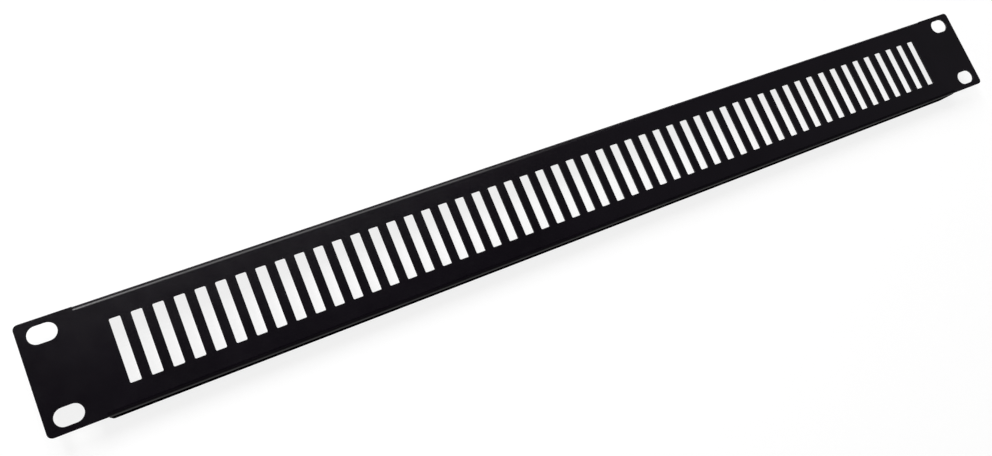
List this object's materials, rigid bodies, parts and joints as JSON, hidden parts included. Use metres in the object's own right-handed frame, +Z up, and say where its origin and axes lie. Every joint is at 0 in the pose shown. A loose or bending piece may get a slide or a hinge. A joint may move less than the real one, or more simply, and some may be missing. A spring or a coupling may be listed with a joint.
{
  "type": "rack blanking panel",
  "caption": "Flat vented filler panel for an equipment rack, folded back along both long edges, with a row of upright slots and oblong screw holes in its end ears.",
  "frame": {"origin": "middle of the four rack holes, on the back of the ears, where the panel seats on the rack's rails", "axes": "+X along the panel's length, +Z up as it is bolted in the rack, -Y out of its face towards the room"},
  "size_m": [0.4826, 0.011, 0.044],
  "materials": {
    "powder_coat": "black satin powder coat on steel sheet"
  },
  "bodies": {
    "root": {"blanking_panel": "powder_coat"}
  },
  "joints": []
}
